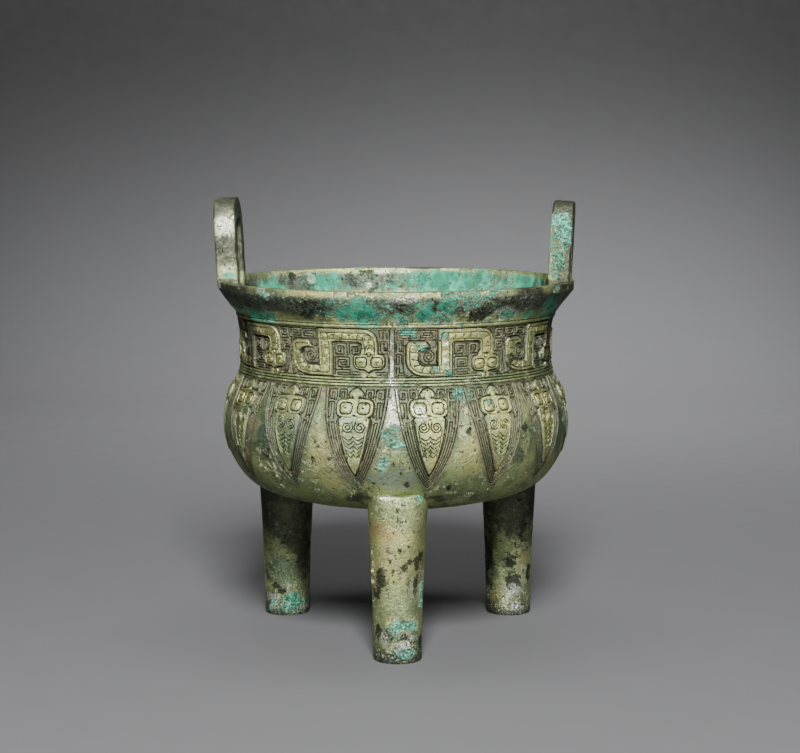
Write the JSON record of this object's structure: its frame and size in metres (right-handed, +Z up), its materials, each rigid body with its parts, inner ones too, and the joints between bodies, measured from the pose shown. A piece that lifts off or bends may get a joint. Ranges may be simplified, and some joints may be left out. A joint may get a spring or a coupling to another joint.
{
  "type": "bronze ding vessel",
  "caption": "Round-bellied cast bronze food vessel on straight legs, with upright loop handles on its rim, a neck band of coiled dragons and hanging blades with cicadas below.",
  "frame": {"origin": "on the ground, at the middle of the vessel's footprint", "axes": "+Z up, +X towards the handle on the right, -Y towards the front leg"},
  "size_m": [0.1671, 0.165, 0.2019],
  "materials": {
    "bronze_patina": "old cast bronze with a matt olive-green patina, dark recesses and patches of malachite-green crust"
  },
  "bodies": {
    "root": {"ding_vessel": "bronze_patina"}
  },
  "joints": []
}
